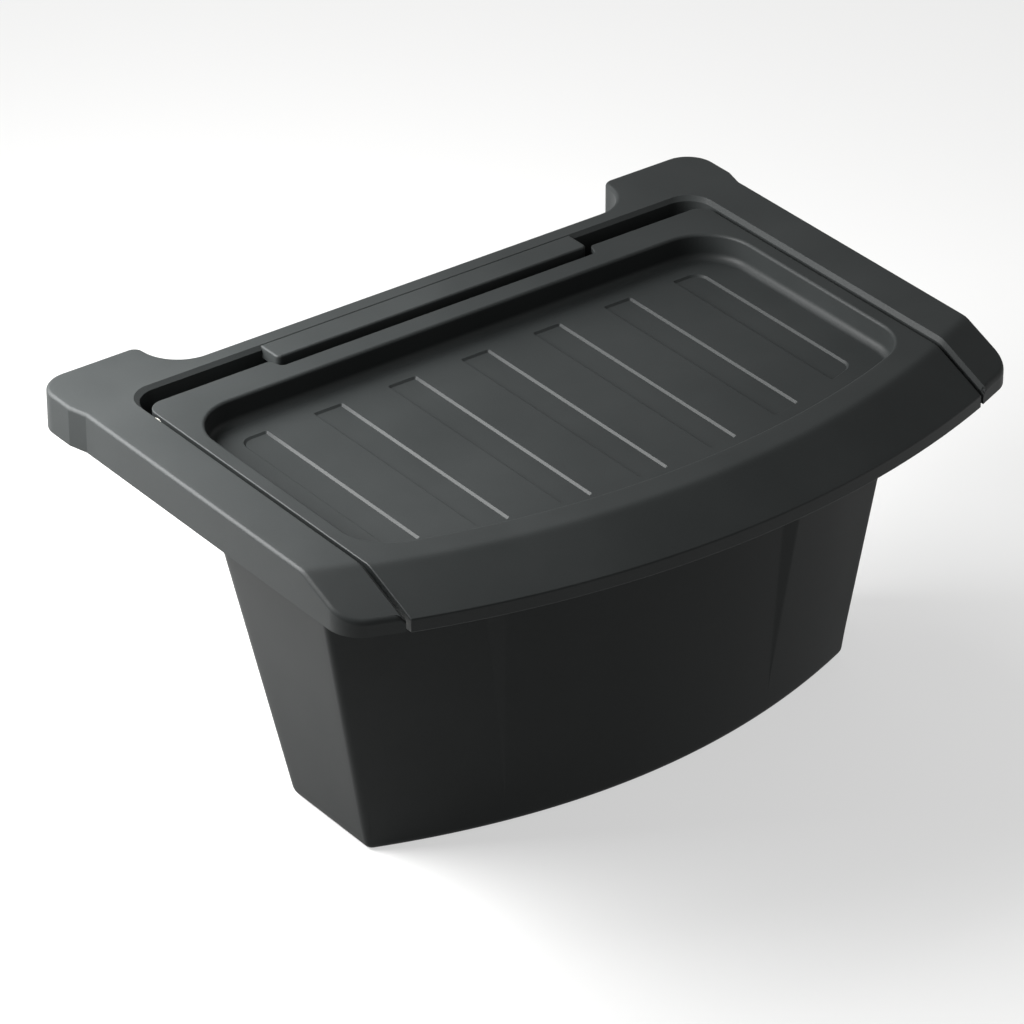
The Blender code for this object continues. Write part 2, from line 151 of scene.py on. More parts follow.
def nearestPlaces(points, outline, skipLast=False):
    # for each point the nearest place on an outline, as a side's number and a fraction along it
    places = []
    for point in points:
        best = None
        for k in range(len(outline) - skipLast):
            a, b = outline[k], outline[(k + 1) % len(outline)]
            side = b - a
            share = min(1.0, max(0.0, (point - a).dot(side) / max(1e-12, side.length_squared)))
            gap = (a + side * share - point).length
            if best is None or gap < best[0]:
                best = (gap, k, share)
        places.append(best[1:])
    return places


def atPlaces(outline, places):
    return [outline[k].lerp(outline[(k + 1) % len(outline)], share) for k, share in places]


def withHeight(points, height):
    if callable(height):
        return [(p.x, p.y, height(p.x, p.y)) for p in points]
    return [(p.x, p.y, height) for p in points]


def blendRings(first, second, share):
    return [a.lerp(b, share) for a, b in zip(first, second)]


def meshObject(name, builder):
    mesh = bpy.data.meshes.new(name)
    builder.to_mesh(mesh)
    builder.free()
    piece = bpy.data.objects.new(name, mesh)
    bpy.context.scene.collection.objects.link(piece)
    return piece


def skin(name, rings):
    # a closed skin through rings of equal counts, with both ends capped
    builder = bmesh.new()
    rows = [[builder.verts.new(point) for point in ring] for ring in rings]
    count = len(rows[0])
    for low, high in zip(rows, rows[1:]):
        for k in range(count):
            after = (k + 1) % count
            builder.faces.new((low[k], low[after], high[after], high[k]))
    builder.faces.new(list(reversed(rows[0])))
    builder.faces.new(rows[-1])
    bmesh.ops.remove_doubles(builder, verts=builder.verts, dist=drawing["weld"])
    bmesh.ops.recalc_face_normals(builder, faces=builder.faces)
    return meshObject(name, builder)


def prismOver(name, outline, low, high):
    return skin(name, [withHeight(outline, low), withHeight(outline, high)])


def carve(target, tool, operation="DIFFERENCE"):
    change = target.modifiers.new(operation, "BOOLEAN")
    change.object = tool
    change.operation = operation
    change.solver = "EXACT"
    settle(target)
    bpy.data.objects.remove(tool, do_unlink=True)


def settle(piece):
    # turns what the modifiers make into the piece's own mesh
    graph = bpy.context.evaluated_depsgraph_get()
    made = bpy.data.meshes.new_from_object(piece.evaluated_get(graph))
    piece.modifiers.clear()
    piece.data = made
    made.name = piece.name


def closeCracks(piece):
    # joins points a hair apart and fills any slit that the carving left
    builder = bmesh.new()
    builder.from_mesh(piece.data)
    bmesh.ops.remove_doubles(builder, verts=builder.verts, dist=drawing["carvedWeld"])
    bmesh.ops.dissolve_degenerate(builder, edges=builder.edges, dist=drawing["sliver"])
    bmesh.ops.holes_fill(builder, edges=[edge for edge in builder.edges if edge.is_boundary])
    builder.to_mesh(piece.data)
    builder.free()


def smoothShade(piece, sharpDegrees=drawing["sharpDegrees"]):
    piece.data.shade_smooth()
    piece.data.set_sharp_from_angle(angle=radians(sharpDegrees))
    weight = piece.modifiers.new("weight", "WEIGHTED_NORMAL")
    weight.keep_sharp = True
    weight.weight = drawing["normalWeight"]
    settle(piece)


def toLinear(hexColour):
    parts = [int(hexColour[k:k + 2], 16) / 255 for k in (1, 3, 5)]
    return [p / 12.92 if p <= 0.04045 else ((p + 0.055) / 1.055) ** 2.4 for p in parts] + [1.0]


def addNode(tree, kind, inputs=None, **settings):
    node = tree.nodes.new(kind)
    for name, value in settings.items():
        setattr(node, name, value)
    for name, value in (inputs or {}).items():
        if isinstance(value, bpy.types.NodeSocket):
            tree.links.new(value, node.inputs[name])
        else:
            node.inputs[name].default_value = value
    return node


def startMaterial(name):
    material = bpy.data.materials.new(name)
    material.use_nodes = True
    tree = material.node_tree
    place = addNode(tree, "ShaderNodeTexCoord").outputs["Object"]
    return material, tree, tree.nodes["Principled BSDF"], place


# the plastics' shared surface: sizes of the cloud, grain and pits, and how strongly they show
plastic = {
    "cloudSize": 70 * mm,
    "grainSize": 0.9 * mm,
    "pitSize": 0.7 * mm,
    "cloudRange": (0.30, 0.70),
    "roughnessSpread": 0.03,
    "bumpStrength": 0.22,
    "bumpDepth": 0.12 * mm,
    "ior": 1.49,
}


def grainedPolypropylene(name, darkHex, lightHex, roughness, specular):
    # moulded polypropylene from a spark-eroded mould: a matte, very fine pebble grain that breaks up
    # the highlight, with faint cloudy tone from the filler and slightly glossier rubbed patches
    p = plastic
    material, tree, shader, place = startMaterial(name)
    cloud = addNode(tree, "ShaderNodeTexNoise", {
        "Vector": place, "Scale": 1 / p["cloudSize"], "Detail": 3.0})
    grain = addNode(tree, "ShaderNodeTexNoise", {
        "Vector": place, "Scale": 1 / p["grainSize"], "Detail": 2.0, "Roughness": 0.6})
    pits = addNode(tree, "ShaderNodeTexVoronoi", {"Vector": place, "Scale": 1 / p["pitSize"]},
                   feature="SMOOTH_F1")
    ramp = addNode(tree, "ShaderNodeValToRGB", {"Fac": cloud.outputs["Fac"]})
    for stop, position, colour in zip(ramp.color_ramp.elements, p["cloudRange"], (darkHex, lightHex)):
        stop.position = position
        stop.color = toLinear(colour)
    rough = addNode(tree, "ShaderNodeMapRange", {
        "Value": cloud.outputs["Fac"], "From Min": p["cloudRange"][0], "From Max": p["cloudRange"][1],
        "To Min": roughness - p["roughnessSpread"], "To Max": roughness + p["roughnessSpread"]})
    height = addNode(tree, "ShaderNodeMath", {0: grain.outputs["Fac"], 1: pits.outputs["Distance"]},
                     operation="ADD")
    bump = addNode(tree, "ShaderNodeBump", {
        "Height": height.outputs["Value"], "Strength": p["bumpStrength"], "Distance": p["bumpDepth"]})
    tree.links.new(ramp.outputs["Color"], shader.inputs["Base Color"])
    tree.links.new(rough.outputs["Result"], shader.inputs["Roughness"])
    tree.links.new(bump.outputs["Normal"], shader.inputs["Normal"])
    shader.inputs["IOR"].default_value = p["ior"]
    shader.inputs["Specular IOR Level"].default_value = specular
    return material


def zincPlatedSteel():
    # bright zinc plate: a cool grey metal with soft drawn streaks round the head and shank
    material, tree, shader, place = startMaterial("zincPlatedSteel")
    streak = addNode(tree, "ShaderNodeTexNoise", {"Vector": place, "Scale": 1 / (1.2 * mm), "Detail": 4.0})
    ramp = addNode(tree, "ShaderNodeValToRGB", {"Fac": streak.outputs["Fac"]})
    ramp.color_ramp.elements[0].color = toLinear("#9da0a2")
    ramp.color_ramp.elements[1].color = toLinear("#c9cbcc")
    rough = addNode(tree, "ShaderNodeMapRange", {
        "Value": streak.outputs["Fac"], "To Min": 0.25, "To Max": 0.45})
    tree.links.new(ramp.outputs["Color"], shader.inputs["Base Color"])
    tree.links.new(rough.outputs["Result"], shader.inputs["Roughness"])
    shader.inputs["Metallic"].default_value = 1.0
    return material


def mouldedNylon():
    # natural nylon: a milky, slightly waxy white with a low sheen
    material, tree, shader, place = startMaterial("mouldedNylon")
    cloud = addNode(tree, "ShaderNodeTexNoise", {"Vector": place, "Scale": 1 / (3 * mm), "Detail": 2.0})
    ramp = addNode(tree, "ShaderNodeValToRGB", {"Fac": cloud.outputs["Fac"]})
    ramp.color_ramp.elements[0].color = toLinear("#d8d5cb")
    ramp.color_ramp.elements[1].color = toLinear("#e6e3da")
    tree.links.new(ramp.outputs["Color"], shader.inputs["Base Color"])
    shader.inputs["Roughness"].default_value = 0.42
    shader.inputs["IOR"].default_value = 1.53
    return material


def mouldedRubber():
    # moulded black rubber: dull and dusty, with a fine uneven skin
    material, tree, shader, place = startMaterial("mouldedRubber")
    dust = addNode(tree, "ShaderNodeTexNoise", {"Vector": place, "Scale": 1 / (2 * mm), "Detail": 4.0})
    ramp = addNode(tree, "ShaderNodeValToRGB", {"Fac": dust.outputs["Fac"]})
    ramp.color_ramp.elements[0].color = toLinear("#161616")
    ramp.color_ramp.elements[1].color = toLinear("#242424")
    bump = addNode(tree, "ShaderNodeBump", {
        "Height": dust.outputs["Fac"], "Strength": 0.3, "Distance": 0.1 * mm})
    tree.links.new(ramp.outputs["Color"], shader.inputs["Base Color"])
    tree.links.new(bump.outputs["Normal"], shader.inputs["Normal"])
    shader.inputs["Roughness"].default_value = 0.85
    return material


# one grained plastic in three copies: the lid's and the bucket's are darker than the frame's. That is
# painted shade, standing in for the shade in the lid's sunken tray and on the bucket's front wall.
framePlastic = grainedPolypropylene("grainedPolypropyleneFrame", "#212323", "#262828", 0.48, 0.12)
lidPlasticDarkenedForShade = grainedPolypropylene("grainedPolypropyleneLid", "#1f2121", "#232525", 0.46, 0.12)
bucketPlasticDarkenedForShade = grainedPolypropylene("grainedPolypropyleneBucket", "#191b1b", "#1d1f1f", 0.50, 0.10)
plated = zincPlatedSteel()
nylon = mouldedNylon()
rubber = mouldedRubber()
print("scene: materials are made")

rimFrame = {
    "wall": 2.8 * mm,
    "gap": 0.3 * mm,
    "overlap": 1 * mm,
    "sideHalf": 221.8 * mm,
    "openingHalf": 192 * mm,
    "openingRear": 121.6 * mm,
    "openingCorner": 16 * mm,
    "openingChamfer": 2.2 * mm,
    "earInner": 159 * mm,
    "earStep": (117 * mm, 129 * mm),
    "earStepCorner": 3 * mm,
    "earCorner": 18 * mm,
    "earTipCorner": 6 * mm,
    "earTaper": 3.5 * mm,
    "earCurve": 24 * mm,
    "rearEdge": 133.8 * mm,
    "frontCorner": 20 * mm,
    "edgeRound": 2.2 * mm,
    "roundSteps": 6,
    "tongueHalf": 105 * mm,
    "tongueFront": 107 * mm,
    "tongueDepth": 7 * mm,
    "tongueCorner": 3 * mm,
    "tongueRound": 1.3 * mm,
    "tongueOverlap": 2 * mm,
    "tabReach": 8.5 * mm,
    "tabHalf": 7 * mm,
    "tabCorner": 2 * mm,
    "tabRound": 0.4 * mm,
    "lugHalf": 8 * mm,
    "lugBelow": 6.5 * mm,
    "lugPastPin": 3 * mm,
    "socketLead": 4 * mm,
    "socketWall": 2.7 * mm,
    "seam": 0.03 * mm,
    "spacing": 2.4 * mm,
    "rows": 20,
}


def frameOutside():
    # the frame's outer edge, from the right end of the opening round both ears to the left end
    r = rimFrame
    right = [
        (r["openingHalf"], arcY(r["openingHalf"], frontArcs["lipRadius"]), 0),
        (r["sideHalf"], arcY(r["sideHalf"], frontArcs["lipRadius"]), r["frontCorner"]),
        (r["sideHalf"], r["earStep"][0], r["earStepCorner"]),
        (frameBox[1][0], r["earStep"][1], r["earStepCorner"]),
        (frameBox[1][0], frameBox[1][1], r["earCorner"]),
        (r["earInner"], frameBox[1][1], r["earTipCorner"]),
        (r["earInner"] - r["earTaper"], r["rearEdge"], r["earCurve"]),
    ]
    return right + [(-x, y, radius) for x, y, radius in reversed(right)]


def frameOpening():
    r = rimFrame
    front = arcY(r["openingHalf"], frontArcs["lipRadius"])
    return [
        (-r["openingHalf"], front, 0),
        (-r["openingHalf"], r["openingRear"], r["openingCorner"]),
        (r["openingHalf"], r["openingRear"], r["openingCorner"]),
        (r["openingHalf"], front, 0),
    ]


def frameClosed(inset):
    # the whole U as one loop: the outer edge, then back along the opening
    return roundCorners(frameOutside() + frameOpening()[1:3], inset)


def slopedTool(name, outline, low, clearance):
    # an upright tool whose top follows the sloping top face, less a wall
    points = fillIn(outline, segmentCounts(outline, drawing["toolSpacing"]))
    tool = prismOver(name, points, low, frameBox[1][2] - clearance)
    carve(tool, slopeWedge(clearance))
    return tool


def slopeWedge(clearance):
    # everything above the front slope, lowered by a wall's thickness
    a, top = frontArcs, frameBox[1][2]
    inner = a["slopeRadius"] - clearance * a["wedgeLead"]
    outer = a["lipRadius"] + 2 * drawing["overrun"]
    drop = clearance * sqrt(1 + slopeFall * slopeFall)
    profile = [(r, top - drop - slopeFall * (r - a["slopeRadius"])) for r in (inner, outer)]
    profile += [(outer, top + drawing["overrun"]), (inner, top + drawing["overrun"])]
    rings = []
    for step in range(2 * a["wedgeSteps"] + 1):
        angle = radians(-90 + a["wedgeDegrees"] * (step / a["wedgeSteps"] - 1))
        rings.append([(r * cos(angle), a["centreY"] + r * sin(angle), z) for r, z in profile])
    return skin("slopeWedge", rings)


def frameTop(x, y):
    # the frame's top face, which the opening's chamfer also cuts at the two front ends
    chamfer = rimFrame["openingChamfer"]
    cut = max(0.0, min(chamfer, chamfer - (abs(x) - rimFrame["openingHalf"])))
    return topZ(x, y, frameBox[1][2]) - (cut if y < 0 else 0.0)


def frameBlock():
    r = rimFrame
    low, top = frameBox[0][2], frameBox[1][2]
    base = roundCorners(frameOutside())
    # the outer edge is an open line, so its closing side along the opening is dropped
    counts = segmentCounts(base, r["spacing"])[:-1]

    def outer(inset):
        line = roundCorners(frameOutside(), inset)
        points = []
        for k, steps in enumerate(counts):
            points += [line[k].lerp(line[k + 1], j / steps) for j in range(steps)]
        return points + [line[-1]]

    chamfer = r["openingChamfer"]
    widened = [(x * (1 + chamfer / r["openingHalf"]), y + (chamfer if y > 0 else 0), q)
               for x, y, q in frameOpening()]
    openingLine = list(reversed(roundCorners(frameOpening())))
    chamferLine = list(reversed(roundCorners(widened)))
    edge = outer(0.0)
    places = nearestPlaces(edge, openingLine, skipLast=True)
    inside, insideTop = atPlaces(openingLine, places), atPlaces(chamferLine, places)
    rounding = r["edgeRound"]
    rings = [withHeight(inside, low), withHeight(edge, low)]
    for turn in quarterTurns(r["roundSteps"]):
        drop = rounding * (1 - sin(turn))
        rings.append(withHeight(outer(rounding * (1 - cos(turn))), lambda x, y: frameTop(x, y) - drop))
    lastEdge = outer(rounding)
    for row in range(1, r["rows"] + 1):
        rings.append(withHeight(blendRings(lastEdge, insideTop, row / r["rows"]), frameTop))
    rings.append(withHeight(inside, lambda x, y: topZ(x, y, top) - chamfer))
    builder = bmesh.new()
    rows = [[builder.verts.new(point) for point in ring] for ring in rings]
    for lowRow, highRow in zip(rows, rows[1:] + rows[:1]):
        for k in range(len(edge) - 1):
            builder.faces.new((lowRow[k], lowRow[k + 1], highRow[k + 1], highRow[k]))
    for k in (0, len(edge) - 1):
        builder.faces.new([row[k] for row in rows])
    bmesh.ops.remove_doubles(builder, verts=builder.verts, dist=drawing["carvedWeld"])
    bmesh.ops.dissolve_degenerate(builder, edges=builder.edges, dist=drawing["weld"])
    bmesh.ops.recalc_face_normals(builder, faces=builder.faces)
    return meshObject("rimFrame", builder)


def roundedBlock(name, corners, low, high, rounding):
    # an upright block with a rounded top edge
    counts = segmentCounts(roundCorners(corners), drawing["blockSpacing"])
    rings = [withHeight(fillIn(roundCorners(corners), counts), low)]
    for turn in quarterTurns(drawing["blockRoundSteps"]):
        outline = fillIn(roundCorners(corners, rounding * (1 - cos(turn))), counts)
        rings.append(withHeight(outline, high - rounding * (1 - sin(turn))))
    return skin(name, rings)


def barAlong(name, radius, start, end, sides=drawing["barSides"]):
    axis = Vector(end) - Vector(start)
    middle = Matrix.Translation((Vector(start) + Vector(end)) / 2)
    turned = axis.to_track_quat("Z", "Y").to_matrix().to_4x4()
    builder = bmesh.new()
    bmesh.ops.create_cone(builder, cap_ends=True, segments=sides, radius1=radius, radius2=radius,
                          depth=axis.length, matrix=middle @ turned)
    return meshObject(name, builder)


screws = {
    "names": [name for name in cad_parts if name.startswith("frame_screw")],
    "postRadius": 3.8 * mm,
    "boreRadius": 1.9 * mm,
    "shankRadius": 1.6 * mm,
    "headRadius": 3.4 * mm,
    "headHeight": 1.8 * mm,
    "recessLength": 3.6 * mm,
    "recessWidth": 0.8 * mm,
    "recessDepth": 1.0 * mm,
    "postSides": 32,
    "borePastTip": 1 * mm,
    "holeLength": 12 * mm,
    "sides": 40,
    "domeSteps": 6,
    "headRim": 0.5 * mm,
    "headBreak": 0.1 * mm,
    "neckShare": 0.8,
    "rootShare": 0.78,
    "tipShare": 0.5,
    "threadPitch": 1.2 * mm,
    "threadStart": 0.8 * mm,
    "tipLength": 1.2 * mm,
}


def screwPlaces(height):
    # the middle of each packed screw, at one height
    boxes = [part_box(name) for name in screws["names"]]
    return [((low[0] + high[0]) / 2, (low[1] + high[1]) / 2, height) for low, high in boxes]


def pointCloud(name, points):
    mesh = bpy.data.meshes.new(name)
    mesh.from_pydata(points, [], [])
    cloud = bpy.data.objects.new(name, mesh)
    bpy.context.scene.collection.objects.link(cloud)
    return cloud


def newTree(name, sizes):
    # a node tree with one named input for each size
    tree = bpy.data.node_groups.new(name, "GeometryNodeTree")
    tree.interface.new_socket("Geometry", in_out="INPUT", socket_type="NodeSocketGeometry")
    for label in sizes:
        tree.interface.new_socket(label, in_out="INPUT", socket_type="NodeSocketFloat")
    tree.interface.new_socket("Material", in_out="INPUT", socket_type="NodeSocketMaterial")
    tree.interface.new_socket("Geometry", in_out="OUTPUT", socket_type="NodeSocketGeometry")
    return tree, addNode(tree, "NodeGroupInput"), addNode(tree, "NodeGroupOutput")


def runTree(target, tree, values):
    change = target.modifiers.new(tree.name, "NODES")
    change.node_group = tree
    for item in tree.interface.items_tree:
        if item.in_out == "INPUT" and item.name in values:
            change[item.identifier] = values[item.name]
    settle(target)


def finishTree(tree, group, output, geometry):
    real = addNode(tree, "GeometryNodeRealizeInstances", {"Geometry": geometry})
    painted = addNode(tree, "GeometryNodeSetMaterial", {
        "Geometry": real.outputs["Geometry"], "Material": group.outputs["Material"]})
    tree.links.new(painted.outputs["Geometry"], output.inputs["Geometry"])


def screwPostTree():
    # one round post on every screw's place
    tree, group, output = newTree("screwPosts", ["Radius", "Height"])
    post = addNode(tree, "GeometryNodeMeshCylinder", {
        "Radius": group.outputs["Radius"], "Depth": group.outputs["Height"],
        "Vertices": screws["postSides"]})
    spread = addNode(tree, "GeometryNodeInstanceOnPoints", {
        "Points": group.outputs["Geometry"], "Instance": post.outputs["Mesh"]})
    finishTree(tree, group, output, spread.outputs["Instances"])
    return tree


postTree = screwPostTree()


def postsAt(name, middle, radius, height):
    posts = pointCloud(name, screwPlaces(middle))
    runTree(posts, postTree, {"Radius": radius, "Height": height})
    return posts


def leftTurning(corners):
    # the same corners, in the order that turns left
    area = sum(a[0] * b[1] - b[0] * a[1] for a, b in zip(corners, corners[1:] + corners[:1]))
    return corners if area > 0 else list(reversed(corners))


def addTongue(piece):
    # the tongue that reaches forward from the rear bar over the lid's notch
    r, top = rimFrame, frameBox[1][2]
    half, front, rear = r["tongueHalf"], r["tongueFront"], r["openingRear"] + r["tongueOverlap"]
    corners = [(-half, front, r["tongueCorner"]), (half, front, r["tongueCorner"]), (half, rear, 0),
               (-half, rear, 0)]
    tongue = roundedBlock("tongue", corners, top - r["tongueDepth"], top - r["seam"], r["tongueRound"])
    carve(piece, tongue, "UNION")


def addPosts(piece, aboveFlange):
    # a bored post over every screw
    height = frameBox[1][2] - rimFrame["wall"] / 2 - aboveFlange
    carve(piece, postsAt("posts", aboveFlange + height / 2, screws["postRadius"], height), "UNION")
    start = frameBox[0][2] - drawing["overrun"]
    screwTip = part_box(screws["names"][0])[1][2]
    boreHeight = screwTip + screws["borePastTip"] - start
    carve(piece, postsAt("bores", start + boreHeight / 2, screws["boreRadius"], boreHeight))


def addTab(piece, place, side, aboveFlange):
    # the small shelf on the inner wall that a bumper stands on
    r = rimFrame
    lowest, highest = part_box(f"lid_bumper_{place}_{side}")
    sign = 1 if lowest[0] > 0 else -1
    middle = (lowest[1] + highest[1]) / 2
    inner, outer = sign * (r["openingHalf"] - r["tabReach"]), sign * (r["openingHalf"] + r["overlap"])
    near, far = middle - r["tabHalf"], middle + r["tabHalf"]
    corners = leftTurning([(inner, near, r["tabCorner"]), (outer, near, 0), (outer, far, 0),
                           (inner, far, r["tabCorner"])])
    low, high = aboveFlange + r["seam"], lowest[2] - r["gap"]
    carve(piece, roundedBlock("tab", corners, low, high, r["tabRound"]), "UNION")


def addLug(piece, side):
    # the solid lug behind the inner wall, with the hinge pin's socket
    r = rimFrame
    pinLow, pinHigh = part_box(f"hinge_pin_{side}")
    sign = 1 if pinLow[0] > 0 else -1
    start, end = r["openingHalf"] + r["overlap"], max(abs(pinLow[0]), abs(pinHigh[0])) + r["lugPastPin"]
    y, z = (pinLow[1] + pinHigh[1]) / 2, (pinLow[2] + pinHigh[2]) / 2
    near, far = y - r["lugHalf"], y + r["lugHalf"]
    corners = leftTurning([(sign * start, near), (sign * end, near), (sign * end, far), (sign * start, far)])
    lug = prismOver("lug", [Vector(c) for c in corners], z - r["lugBelow"], frameBox[1][2] - r["wall"] / 2)
    carve(piece, lug, "UNION")
    carve(piece, barAlong("pinSocket", (pinHigh[2] - pinLow[2]) / 2 + r["gap"],
                          (sign * (r["openingHalf"] - r["socketLead"]), y, z),
                          (sign * (end - r["socketWall"]), y, z)))


def makeRimFrame():
    wall, start = rimFrame["wall"], frameBox[0][2] - drawing["overrun"]
    aboveFlange = bucketBox[1][2] + rimFrame["gap"]
    piece = frameBlock()
    carve(piece, slopedTool("channel", frameClosed(wall), start, wall))
    carve(piece, prismOver("innerWallTrim", roundCorners(frameOutside(), wall), start, aboveFlange))
    addTongue(piece)
    addPosts(piece, aboveFlange)
    for side in ("left", "right"):
        for place in ("front", "rear"):
            addTab(piece, place, side, aboveFlange)
        addLug(piece, side)
    return piece


rim = makeRimFrame()
closeCracks(rim)
smoothShade(rim)
rim.data.materials.append(framePlastic)
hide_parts("rim_frame")
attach(rim, "frame_and_bucket")
print("scene: the rim frame has", len(rim.data.polygons), "faces")

tray = {
    "half": 180 * mm,
    "rear": 87.2 * mm,
    "frontRadius": 515.5 * mm,
    "frontSteps": 40,
    "depth": 15.5 * mm,
    "corner": 30 * mm,
    "cornerShare": 1.15,
    "topRound": 1.8 * mm,
    "topSteps": 6,
    "floorRound": 4.5 * mm,
    "floorSteps": 8,
    "grooves": 7,
    "groovePitch": 49 * mm,
    "grooveWidth": 19 * mm,
    "grooveDepth": 1.2 * mm,
    "grooveCorner": 1.6 * mm,
    "grooveOuterCorner": 8 * mm,
    "grooveProfile": ((1.08, -1.0), (0.92, -0.94), (0.10, -0.10), (-0.03, 0.0), (-0.03, 1.0)),
    "grooveRear": 71 * mm,
    "grooveFrontRadius": 491.5 * mm,
    "grooveArcDegrees": 10,
}
lidShape = {
    "wall": 2.5 * mm,
    "floor": 2.2 * mm,
    "notch": 101 * mm,
    "notchHalf": 109 * mm,
    "notchCorner": 3 * mm,
    "rearCorner": 10 * mm,
    "frontSteps": 60,
    "edgeRound": 0.7 * mm,
    "edgeSteps": 6,
    "lowRound": 0.8 * mm,
    "lowSteps": 3,
    "sideDepth": 12.5 * mm,
    "lipReach": 12 * mm,
    "trimRear": 150 * mm,
    "trimSteps": 40,
    "spacing": 2.4 * mm,
    "rows": 30,
}
# the boss, bore and flange seat for each hinge bush, measured inwards from the lid's side
bushSeat = {
    "bossRadius": 6 * mm,
    "bossLength": 6 * mm,
    "bossStart": 1.2 * mm,
    "boreRadius": 4.5 * mm,
    "boreLength": 20 * mm,
    "flangeRadius": 5.5 * mm,
    "flangeDepth": 1.3 * mm,
    "past": 2 * mm,
    "sides": 48,
}


def arcPoints(radius, half, steps):
    return [(x, arcY(x, radius), 0) for x in (half * (2 * j / steps - 1) for j in range(steps + 1))]


def lidCorners():
    half, rear = lidBox[1][0], lidBox[1][1]
    l = lidShape
    right = [(half, rear, l["rearCorner"]), (l["notchHalf"], rear, l["notchCorner"]),
             (l["notchHalf"] - l["notchCorner"], l["notch"], l["notchCorner"])]
    left = [(-x, y, radius) for x, y, radius in reversed(right)]
    return arcPoints(frontArcs["lipRadius"], half, l["frontSteps"]) + right + left


def trayCorners():
    half, rear, corner = tray["half"], tray["rear"], tray["corner"]
    reach = half - tray["cornerShare"] * corner
    front = [p for p in arcPoints(tray["frontRadius"], half, tray["frontSteps"]) if abs(p[0]) < reach]
    frontY = arcY(half, tray["frontRadius"])
    return [(-half, frontY, corner)] + front + [(half, frontY, corner), (half, rear, corner),
                                                (-half, rear, corner)]


def grooveTool(x, rounded):
    # a shallow slot with crisp corners, 45 degree walls and a front end that follows the lid's bow;
    # rounded is 1 or -1 for the right or left end slot, whose outer corners are softer
    half, radius = tray["grooveWidth"] / 2, tray["grooveCorner"]
    leftRadius, rightRadius = (tray["grooveOuterCorner"] if rounded == side else radius for side in (-1, 1))
    floor = lidBox[1][2] - tray["depth"]

    def frontPoint(across, cornerRadius=0):
        return across, arcY(across, tray["grooveFrontRadius"]), cornerRadius

    left, right, rear = x - half, x + half, tray["grooveRear"]
    front = [frontPoint(x + half * k / 3) for k in range(-2, 3) if k * rounded <= 0]
    corners = [frontPoint(left, leftRadius)] + front + [
        frontPoint(right, rightRadius), (right, rear, rightRadius), (left, rear, leftRadius)]
    rings = []
    for inset, height in tray["grooveProfile"]:
        outline = roundCorners(corners, inset * tray["grooveDepth"], tray["grooveArcDegrees"])
        rings.append(withHeight(outline, floor + height * tray["grooveDepth"]))
    return skin("groove", rings)


def lidShell():
    # the lid's skin: up the outer edge, over the rim, down the tray's wall and across its floor
    l, low, top = lidShape, lidBox[0][2], lidBox[1][2]
    counts = segmentCounts(roundCorners(lidCorners()), l["spacing"])
    places = nearestPlaces(fillIn(roundCorners(lidCorners()), counts), roundCorners(trayCorners()))

    def outer(inset):
        return fillIn(roundCorners(lidCorners(), inset), counts)

    def trayRing(inset):
        return atPlaces(roundCorners(trayCorners(), inset), places)

    def lidTop(x, y):
        return topZ(x, y, top)

    rings = []
    lowRound, edgeRound = l["lowRound"], l["edgeRound"]
    topRound, floorRound = tray["topRound"], tray["floorRound"]
    for turn in quarterTurns(l["lowSteps"]):
        rings.append(withHeight(outer(lowRound * (1 - sin(turn))), low + lowRound * (1 - cos(turn))))
    for turn in quarterTurns(l["edgeSteps"]):
        drop = edgeRound * (1 - sin(turn))
        rings.append(withHeight(outer(edgeRound * (1 - cos(turn))), lambda x, y: lidTop(x, y) - drop))
    rimLine, trayEdge = outer(edgeRound), trayRing(-topRound)
    for row in range(1, l["rows"] + 1):
        rings.append(withHeight(blendRings(rimLine, trayEdge, row / l["rows"]), lidTop))
    for turn in quarterTurns(tray["topSteps"])[1:]:
        drop = topRound * (1 - cos(turn))
        rings.append(withHeight(trayRing(-topRound * (1 - sin(turn))), lambda x, y: lidTop(x, y) - drop))
    floor = top - tray["depth"]
    for turn in quarterTurns(tray["floorSteps"]):
        rise = floorRound * (1 - sin(turn))
        rings.append(withHeight(trayRing(floorRound * (1 - cos(turn))), floor + rise))
    return skin("lidShell", rings)


def trayBlock():
    # the tray's outside, walls and floor included, which the hollow and the trim leave standing
    l, top = lidShape, lidBox[1][2]
    outline = roundCorners(trayCorners(), -l["wall"])
    return prismOver("trayBlock", outline, top - tray["depth"] - l["floor"], top + 2 * drawing["overrun"])


def addBushSeat(piece, side):
    bushLow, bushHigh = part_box(f"hinge_bush_{side}")
    sign = 1 if bushLow[0] > 0 else -1
    half, b = lidBox[1][0], bushSeat

    def onAxis(inwards):
        return sign * (half - inwards), (bushLow[1] + bushHigh[1]) / 2, (bushLow[2] + bushHigh[2]) / 2

    def bar(name, radius, start, end):
        return barAlong(name, radius, onAxis(start), onAxis(end), b["sides"])

    carve(piece, bar("boss", b["bossRadius"], b["bossLength"], b["bossStart"]), "UNION")
    carve(piece, bar("bushBore", b["boreRadius"], b["boreLength"], -b["past"]))
    carve(piece, bar("bushSeat", b["flangeRadius"], b["flangeDepth"], -b["past"]))


def makeLid():
    l = lidShape
    start, top = lidBox[0][2] - drawing["overrun"], lidBox[1][2]
    piece = lidShell()
    clearance = l["wall"] + (frameBox[1][2] - top)
    hollow = slopedTool("lidHollow", roundCorners(lidCorners(), l["wall"]), start, clearance)
    carve(hollow, trayBlock())
    carve(piece, hollow)
    reach, side = frontArcs["lipRadius"] - l["lipReach"], frameBox[1][0]
    outline = [Vector(p[:2]) for p in arcPoints(reach, side, l["trimSteps"])]
    outline += [Vector((side, l["trimRear"])), Vector((-side, l["trimRear"]))]
    trim = prismOver("sideTrim", outline, start, top - l["sideDepth"])
    carve(trim, trayBlock())
    carve(piece, trim)
    last = tray["grooves"] - 1
    for k in range(last + 1):
        carve(piece, grooveTool(tray["groovePitch"] * (k - last / 2), (k == last) - (k == 0)))
    for side in ("left", "right"):
        addBushSeat(piece, side)
    return piece


